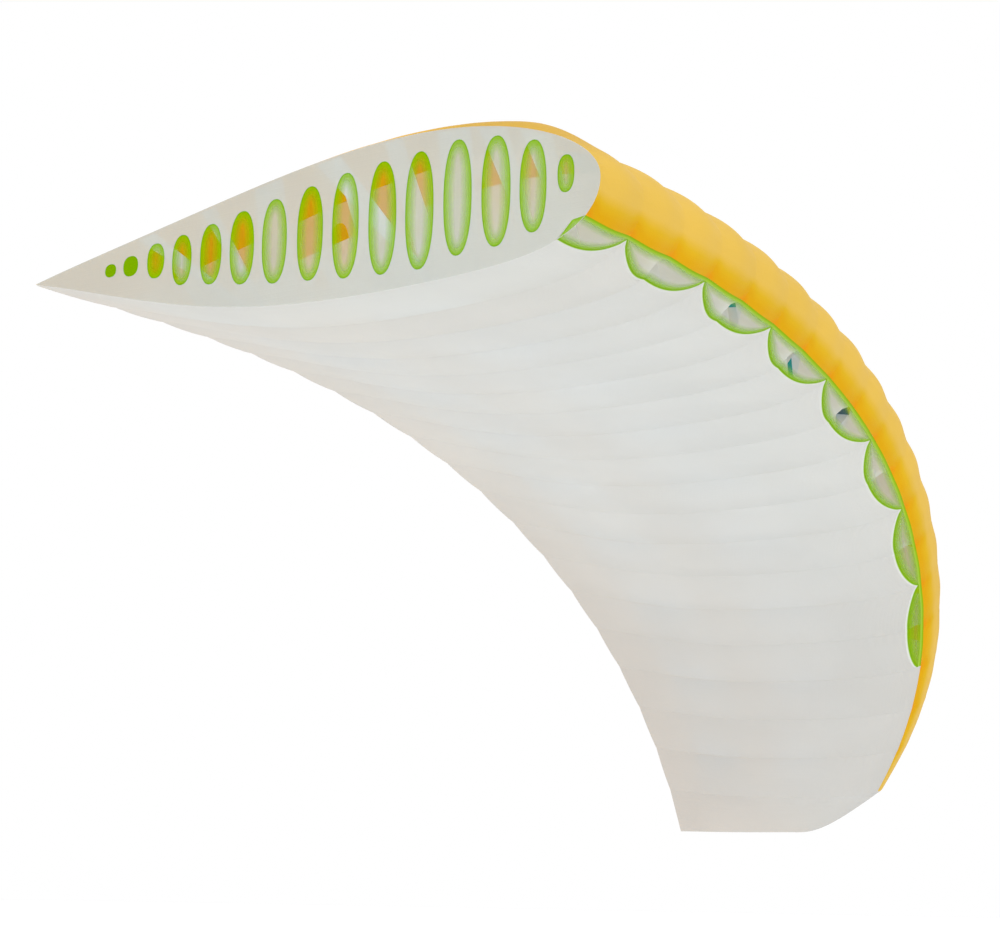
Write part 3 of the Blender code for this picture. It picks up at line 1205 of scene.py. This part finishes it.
@dataclass
class Ribs:
    """Flat ribs with their rows of ports, and the sheer green edging round the ports.

    Attributes:
        shape: Form of the wing.
        ports: Ports of the middle rib.
        inner_ports: Which of them an inner rib has, as positions in that list.
        front_ports: Inner ribs that have one more near the nose, each with its position.
        inset: How far inside the skins the inner ribs end.
        hem: How far the middle rib stands out past the skins, and how far it lies beside them.
        notch_steps: Number of faces along and across the notch's edging.
        outline_steps: Number of edges along the top and along the bottom of a rib.
        port_corners: Number of corners of a port.
        squareness: Power of the ports' rounded ovals; 2 gives an ellipse.
        rear_cut: Place where the middle rib ends at the rear.
        inner_rear_cut: Place where the inner ribs end.
        flat_height: Height of a rib's flat cut, in chords.
        fade: How the edging thins out.
        edging_rings: Number of faces across a port's edging.
        end_stretch: How much wider the edging is at a port's top and bottom than at its sides.
        widest_edging: Most of a port's half width that its edging takes.
        small_port_covers: Heights of small ports, with the least that their edging covers.
        notch_ends: Where the notch's edging starts and ends, as shares of its seam.
    """

    shape: WingShape
    ports: tuple[Port, ...] = PORTS
    inner_ports: tuple[int, ...] = (4, 6, 10)
    front_ports: tuple[tuple[int, int], ...] = ((5, 13), (6, 12), (7, 13), (8, 12), (9, 13))
    inset: float = 0.0012
    hem: float = 0.0018
    notch_steps: int = 24
    outline_steps: int = 64
    port_corners: int = 48
    squareness: float = 2.3
    rear_cut: float = 0.999
    inner_rear_cut: float = 0.985
    flat_height: float = 0.215
    fade: Fade = Fade()
    edging_rings: int = 14
    end_stretch: float = 1.2
    widest_edging: float = 0.98
    small_port_covers: tuple[tuple[float, float], ...] = ((0.1, 0.96), (0.16, 0.35))
    notch_ends: tuple[float, float] = (0.01, 0.99)

    def outline(self, number: int) -> list[tuple[float, float]]:
        """Gives a rib's outline in its plane, from the upper lip over the top.

        Args:
            number: Number of the rib.

        Returns:
            The outline's points.
        """
        shape = self.shape
        rib = shape.ribs[number]
        cell = min(number, shape.cells - 2)
        front = shape.lip_places(cell, number - cell)[3]
        if number >= shape.last_mouth_rib:
            front = shape.upper_lip
        rear = self.inner_rear_cut if number else self.rear_cut
        top = evenly(shape.upper_lip, rear, self.outline_steps)
        bottom = evenly(-rear, front, self.outline_steps)
        offset = -self.inset if number else self.hem
        points = [shape.outline_point(rib, place, offset) for place in top + bottom]
        if self.is_notched(number):
            points.append(self.notch_corner(rib))
        return points

    def is_notched(self, number: int) -> bool:
        """Tells whether a rib stands in the middle of a mouth."""
        return number % 2 == 0 and number < self.shape.last_mouth_rib

    def notch_corner(self, rib: RibFrame) -> tuple[float, float]:
        """Gives the inner corner of a rib's notch."""
        return (
            -self.shape.notch_back * rib.chord,
            -self.shape.notch_drop * rib.chord * rib.swell,
        )

    def ports_of(self, number: int) -> list[Port]:
        """Gives the ports of a rib: the whole row in the middle rib and a few in the others."""
        if number == 0:
            return list(self.ports)
        extra = tuple(port for rib, port in self.front_ports if rib == number)
        return [self.ports[index] for index in self.inner_ports + extra]

    def oval(self, port: Port, scale: float, inwards: float = 0.0) -> list[tuple[float, float]]:
        """Gives the rounded oval of a port.

        Args:
            port: The port.
            scale: Size of the rib against the middle rib.
            inwards: Distance inside the rim.

        Returns:
            The oval's points in the rib's plane.
        """
        points = []
        for corner in range(self.port_corners):
            angle = 2 * math.pi * (corner + 0.5) / self.port_corners
            wide, tall = (
                math.copysign(abs(turn) ** (2 / self.squareness), turn)
                for turn in (math.cos(angle), math.sin(angle))
            )
            half_wide = port.wide / 2 * MM * scale - inwards
            half_tall = port.tall / 2 * MM * scale
            even = half_tall * inwards / (half_wide + inwards)
            half_tall -= min(inwards * self.end_stretch, even)
            points.append(
                (
                    -port.back * MM * scale + wide * half_wide,
                    port.rise * MM * scale + tall * half_tall,
                )
            )
        return points

    def plate(self, number: int) -> Sheet:
        """Cuts a rib with its ports.

        Args:
            number: Number of the rib.

        Returns:
            The sheet.
        """
        rib = self.shape.ribs[number]
        scale = rib.chord / self.shape.root_chord
        loops = [self.outline(number)]
        loops += [self.oval(port, scale) for port in self.ports_of(number)]
        sheet = Sheet(f"rib_cloth_{number:02d}")
        shift = -self.hem if number == 0 else 0.0
        for loop in loops:
            for ahead, height in loop:
                sheet.add_point(rib.in_space(ahead, height, shift), (ahead, height))
        flat = [[Vector((ahead, height, 0)) for ahead, height in loop] for loop in loops]
        sheet.faces = [tuple(face) for face in tessellate_polygon(flat)]
        return sheet

    def port_edging(self) -> Sheet:
        """Cuts the lime edging of the middle rib's ports, as rings that thin out inwards.

        Returns:
            The sheet.
        """
        rib = self.shape.ribs[0]
        sheet = Sheet("port_edging")
        for port in self.ports:
            reach = min(self.fade.reach, port.wide / 2 * MM * self.widest_edging)
            least = next(
                (cover for size, cover in self.small_port_covers if port.tall * MM < size), 0.0
            )
            rows = []
            for inwards in [0.0] + evenly(self.fade.seam, reach, self.edging_rings):
                cover = max(self.fade.at(inwards), least)
                row = [
                    sheet.add_point(rib.in_space(*point, -self.hem), point, cover=cover)
                    for point in self.oval(port, 1.0, inwards)
                ]
                rows.append(row + row[:1])
            sheet.add_grid(rows)
        return sheet

    def notch_edging(self) -> Sheet:
        """Cuts the edging of the middle rib's notch, which fades towards the open mouth.

        Returns:
            The sheet.
        """
        shape = self.shape
        rib = shape.ribs[0]
        lower_lip = shape.lip_places(0, 0)[2]
        upper, lower = (
            shape.outline_point(rib, place, self.hem) for place in (shape.upper_lip, lower_lip)
        )
        corner = self.notch_corner(rib)
        bend = math.dist(upper, corner) / (math.dist(upper, corner) + math.dist(corner, lower))
        sheet = Sheet("notch_edging")
        rows = []
        for along in evenly(*self.notch_ends, self.notch_steps):
            if along < bend:
                legs, share = (upper, corner), along / bend
            else:
                legs, share = (corner, lower), (along - bend) / (1 - bend)
            sewn = Vector(legs[0]).lerp(Vector(legs[1]), share)
            place = shape.upper_lip + (lower_lip - shape.upper_lip) * along
            free = Vector(shape.outline_point(rib, place, 0))
            row = []
            for across in evenly(0, 1, self.notch_steps):
                point = sewn.lerp(free, across)
                away = min(
                    (intersect_point_line(point, *ends)[0].to_2d() - point).length
                    for ends in ((upper, corner), (corner, lower))
                )
                flat = (point.x, point.y)
                cover = self.fade.at(away)
                row.append(sheet.add_point(rib.in_space(*flat, -self.hem), flat, cover=cover))
            rows.append(row)
        sheet.add_grid(rows)
        return sheet

    def build(self) -> None:
        """Makes every rib in place of its solid, with its edging."""
        middle = MIDDLE_RIB_CLOTH.build()
        inner = INNER_RIB_CLOTH.build()
        light = LIGHT_RIB_CLOTH.build()
        edging = LIME_EDGING.build()
        for number in range(self.shape.cells):
            rib = self.shape.ribs[number]
            cloth = {0: middle, 1: light}.get(number, inner)
            tall = self.flat_height * rib.chord * rib.swell
            self.plate(number).build(cloth, Slot.RIB, tall, rib.chord, f"rib_{number:02d}")
        for trim in (self.port_edging(), self.notch_edging()):
            trim.build(edging, Slot.TAPE, self.fade.reach)


class Arm(NamedTuple):
    """One arm of a V-rib: the stretch of rib that it reaches and the one where it starts, in mm."""

    top_front: float
    top_rear: float
    foot_front: float
    foot_rear: float


@dataclass
class VRibs:
    """Slanted V-ribs, from the bottoms of some ribs to the tops of their neighbours.

    Each is one cloth cut into arms, which fan out from a few points along a rib's bottom. The
    distances are those behind the nose on the middle rib.

    Attributes:
        shape: Form of the wing.
        arms: Arms of each V-rib.
        plain_cells: Cells without V-ribs.
        open_cells: Cells where one arm is slimmer, so that the mouth is more open.
        slim_arm: Position of that arm.
        slimmer: How much its top is cut back at the rear, in mm.
        clearance: How far the cloth ends from the skins and stands beside the ribs.
        layer_gap: Distance between one arm and the next where they lie on each other.
        steps: Number of faces along an arm.
        flat_width: Width of the flat cut.
    """

    shape: WingShape
    arms: tuple[Arm, ...] = (
        Arm(205, 344, 250, 287),
        Arm(400, 530, 425, 445),
        Arm(565, 715, 745, 900),
        Arm(881, 963, 856, 988),
        Arm(1178, 1297, 880, 905),
        Arm(1465, 1605, 1672, 1890),
        Arm(1836, 1885, 1816, 1850),
        Arm(2136, 2225, 1833, 1865),
        Arm(1178, 1211, 880, 1242),
        Arm(1815, 1835, 1818, 1985),
        Arm(2136, 2161, 1833, 2235),
    )
    plain_cells: tuple[int, ...] = (1,)
    open_cells: tuple[int, ...] = (6, 8)
    slim_arm: int = 1
    slimmer: float = 55.0
    clearance: float = 0.003
    layer_gap: float = 0.0005
    steps: int = 10
    flat_width: float = 0.5

    def place_of(self, back: float, top: bool) -> float:
        """Gives the place that lies a distance behind the nose of the middle rib, in mm."""
        place = math.sqrt(back * MM / self.shape.root_chord)
        return place if top else -place

    def edge_point(self, rib: RibFrame, back: float, top: bool, shift: float) -> Vector:
        """Gives a point on a rib's top or bottom, clear of its skin.

        Args:
            rib: The rib.
            back: Distance behind the nose on the middle rib, in mm.
            top: Whether the point is on the top.
            shift: Distance beside the rib's cloth, outwards along the span.

        Returns:
            The point.
        """
        outline = self.shape.outline_point(rib, self.place_of(back, top), -self.clearance)
        return rib.in_space(*outline, shift)

    def cell_sheet(self, cell: int) -> Sheet:
        """Cuts the V-ribs of one cell.

        Args:
            cell: Number of the cell.

        Returns:
            The sheet.
        """
        carried, neighbour = (cell + 1, cell) if cell % 2 == 0 else (cell, cell + 1)
        side = 1 if neighbour > carried else -1
        low, high = self.shape.ribs[carried], self.shape.ribs[neighbour]
        sheet = Sheet(f"v_ribs_{cell + 1:02d}")
        for layer, arm in enumerate(self.arms):
            if cell in self.open_cells and layer == self.slim_arm:
                arm = arm._replace(top_rear=arm.top_rear - self.slimmer)
            beside = side * (self.clearance + self.layer_gap * layer)
            edges = ((arm.foot_front, arm.top_front), (arm.foot_rear, arm.top_rear))
            rows = []
            for up in evenly(0, 1, self.steps):
                row = []
                for bottom, top in edges:
                    near = self.edge_point(low, bottom, False, beside)
                    far = self.edge_point(high, top, True, -beside)
                    flat = (bottom * MM * (1 - up) + top * MM * up, (far - near).length * up)
                    row.append(sheet.add_point(near.lerp(far, up), flat))
                rows.append(row)
            sheet.add_grid(rows)
        return sheet

    def build(self) -> None:
        """Makes the V-ribs of every cell but the tip cell and the plain ones."""
        cloth = V_RIB_CLOTH.build()
        for cell in range(self.shape.cells - 1):
            if cell not in self.plain_cells:
                self.cell_sheet(cell).build(cloth, Slot.RIB, self.flat_width)


@dataclass
class Lips:
    """Binding tapes of the air mouths and the sheer green edging inside them.

    Attributes:
        shape: Form of the wing.
        columns: Number of faces along a cell.
        fold_lift: How far the tapes' edges lie above the profile, in thicknesses of cloth.
        crown_lift: How far their middle lies above it.
        fade: How the edging thins out.
        mouth_paces: How much faster it does so in each mouth.
        edging_rows: Number of faces from lip to lip.
    """

    shape: WingShape
    columns: int = 16
    fold_lift: float = 0.5
    crown_lift: float = 0.9
    fade: Fade = Fade()
    mouth_paces: tuple[float, ...] = (1.25, 1.25, 1.25, 1.25, 1.25, 1.2, 1.0, 0.8)
    edging_rows: int = 36

    def tape_sheet(self, name: str, first: int) -> Sheet:
        """Cuts a tape that runs along all the mouths.

        Args:
            name: Name of the tape.
            first: 0 for the upper tape, 2 for the lower one.

        Returns:
            The sheet.
        """
        shape = self.shape
        sheet = Sheet(name)
        rows: list[list[int]] = [[], [], []]
        length = 0.0
        for cell in range(shape.last_mouth_rib):
            for share in evenly(0, 1, self.columns):
                if share == 0 and cell > 0:
                    continue
                places = shape.lip_places(cell, share)[first : first + 2]
                length += shape.cell_width(cell) / self.columns
                for row, place in enumerate((places[0], sum(places) / 2, places[1])):
                    offset = shape.cloth * (self.crown_lift if row == 1 else self.fold_lift)
                    point = shape.skin_point(cell, share, place, offset)
                    from_mouth = row if first else 2 - row
                    flat = (length, from_mouth * shape.tape / 2)
                    rows[row].append(sheet.add_point(point, flat))
        sheet.add_grid(rows)
        return sheet

    def mouth_edging(self, mouth: int) -> Sheet:
        """Cuts the green edging of one mouth, which thins out away from both lips.

        Args:
            mouth: Number of the mouth, from 0.

        Returns:
            The sheet.
        """
        shape = self.shape
        sheet = Sheet(f"mouth_edging_{mouth + 1:02d}")
        cells = [cell for cell in (2 * mouth - 1, 2 * mouth) if cell >= 0]
        rows: list[list[int]] = [[] for _ in range(self.edging_rows + 1)]
        for cell in cells:
            for share in evenly(0, 1, self.columns):
                if share == 0 and cell != cells[0]:
                    continue
                _, upper, lower, _ = shape.lip_places(cell, share)
                chord = shape.chord_at(cell, share)
                places = evenly(upper, lower, self.edging_rows)
                heights = [shape.profile_at(place) for place in places]
                steps = [math.dist(a, b) * chord for a, b in zip(heights, heights[1:])]
                for row, place in enumerate(places):
                    near_lip = min(sum(steps[:row]) + shape.tape, sum(steps[row:]))
                    cover = self.fade.at(near_lip * self.mouth_paces[mouth])
                    point = shape.skin_point(cell, share, place, shape.cloth / 2)
                    flat = ((cell + share) * shape.width, sum(steps[:row]))
                    rows[row].append(sheet.add_point(point, flat, cover=cover))
        sheet.add_grid(rows)
        return sheet

    def build(self) -> None:
        """Makes both tapes in place of their solids, and the edging of every mouth."""
        sheer = bpy.data.materials[LIME_EDGING.name]
        for name, node, first, finish in (
            ("upper_lip_binding", "upper_lip_tape", 0, UPPER_TAPE),
            ("lower_lip_binding", "lower_lip_tape", 2, LOWER_TAPE),
        ):
            tape = self.tape_sheet(name, first)
            tape.build(finish.build(), Slot.TAPE, self.shape.tape, node=node)
        for mouth in range(self.shape.mouths):
            self.mouth_edging(mouth).build(sheer, Slot.TAPE, self.fade.reach)


# --- Studio ---------------------------------------------------------------------------------------


@dataclass
class Studio:
    """Camera, floor and soft light.

    Attributes:
        camera_place: Where the camera stands.
        yaw: Angle by which it looks to the left of +Y.
        pitch: Angle by which it looks up.
        roll: Angle by which it is tilted.
        lens: Focal length on a 36 mm frame, in mm.
        sight: How far the camera sees.
        floor_height: Height of the floor, far below the wing.
        floor_size: Length of its sides.
        floor_colour: sRGB hex colour of the floor, matt painted board.
        sky: Strength of the even white light from all sides.
        sun_spread: Angle over which a sun's light is spread.
        low_light_place: Where the light below the wing stands.
        low_light_size: Length of that light's sides.
    """

    camera_place: tuple[float, float, float] = (5.2175, -6.5844, -2.4638)
    yaw: float = 34.786
    pitch: float = 10.219
    roll: float = 0.681
    lens: float = 82.8
    sight: float = 3000.0
    floor_height: float = -17.0
    floor_size: float = 2400.0
    floor_colour: str = "F7F7F5"
    sky: float = 1.0
    sun_spread: float = 90.0
    low_light_place: tuple[float, float, float] = (-0.2, 2.3, -3.28)
    low_light_size: float = 5.0

    def add_camera(self) -> None:
        """Places the camera and makes it the scene's."""
        yaw, pitch, roll = (math.radians(a) for a in (self.yaw, self.pitch, self.roll))
        level = Vector((math.cos(yaw), math.sin(yaw), 0))
        reach = math.cos(pitch)
        ahead = Vector((-math.sin(yaw) * reach, math.cos(yaw) * reach, math.sin(pitch)))
        above = level.cross(ahead)
        right = level * math.cos(roll) + above * math.sin(roll)
        up = above * math.cos(roll) - level * math.sin(roll)
        data = bpy.data.cameras.new("camera")
        data.lens = self.lens
        data.clip_end = self.sight
        camera = self.place(data)
        turn = Matrix((right, up, -ahead)).transposed()
        camera.matrix_world = Matrix.Translation(self.camera_place) @ turn.to_4x4()
        bpy.context.scene.camera = camera

    def place(self, data: bpy.types.ID) -> bpy.types.Object:
        """Puts a camera, a light or a mesh into the scene.

        Args:
            data: What to put there; the object takes its name.

        Returns:
            The new object.
        """
        item = bpy.data.objects.new(data.name, data)
        bpy.context.scene.collection.objects.link(item)
        return item

    def add_floor(self) -> None:
        """Lays a plain pale floor."""
        half = self.floor_size / 2
        mesh = bpy.data.meshes.new("floor")
        corners = [(-half, -half), (half, -half), (half, half), (-half, half)]
        mesh.from_pydata([(x, y, self.floor_height) for x, y in corners], [], [(0, 1, 2, 3)])
        material, tree = new_material("pale_floor")
        surface = add_node(
            tree, "BsdfPrincipled", {"Base Color": linear(self.floor_colour), "Roughness": 0.9}
        )
        add_node(tree, "OutputMaterial", {"Surface": surface.outputs[0]})
        mesh.materials.append(material)
        self.place(mesh)

    def add_world(self) -> None:
        """Fills the room with even white light."""
        world = bpy.data.worlds.new("studio")
        world.use_nodes = True
        tree = world.node_tree
        tree.nodes.clear()
        white = linear("FFFFFF")
        light = add_node(tree, "Background", {"Color": white, "Strength": self.sky})
        add_node(tree, "OutputWorld", {"Surface": light.outputs[0]})
        bpy.context.scene.world = world

    def add_sun(
        self,
        name: str,
        towards: tuple[float, float, float],
        strength: float,
        shadows: bool = True,
    ) -> None:
        """Adds a wide, soft light from far away.

        Args:
            name: Name of the light.
            towards: Direction from the wing to the light.
            strength: Strength of the light, in watts per square metre.
            shadows: Whether cloth in front shades the cloth behind it. A light without shadows
                stands for what is scattered many times over between the sheer cloths.
        """
        data = bpy.data.lights.new(name, "SUN")
        data.energy = strength
        data.use_shadow = shadows
        data.angle = math.radians(self.sun_spread)
        light = self.place(data)
        light.rotation_mode = "QUATERNION"
        light.rotation_quaternion = (-Vector(towards)).to_track_quat("-Z", "Y")

    def add_low_light(self, power: float) -> None:
        """Places a wide soft light below the wing, which faces up at it.

        Args:
            power: Power of the light, in watts.
        """
        data = bpy.data.lights.new("low_light", "AREA")
        data.size = self.low_light_size
        data.energy = power
        light = self.place(data)
        light.location = self.low_light_place
        light.rotation_euler = (math.pi, 0, 0)
        light.visible_camera = False

    def build(self) -> None:
        """Sets up the whole studio."""
        bpy.context.scene.view_settings.view_transform = "Standard"
        self.add_camera()
        self.add_floor()
        self.add_world()
        self.add_sun("key", towards=(1.0, -0.35, 1.5), strength=0.8)
        self.add_sun("fill", towards=(0.45, -0.85, 0.12), strength=1.1, shadows=False)
        self.add_low_light(power=17.0)


def main() -> None:
    """Builds the wing and its studio."""
    logging.basicConfig(level=logging.INFO, format="%(message)s")
    shape = WingShape()
    Studio().build()
    Skins(shape).build()
    Ribs(shape).build()
    VRibs(shape).build()
    Lips(shape).build()


if __name__ == "__main__":
    main()
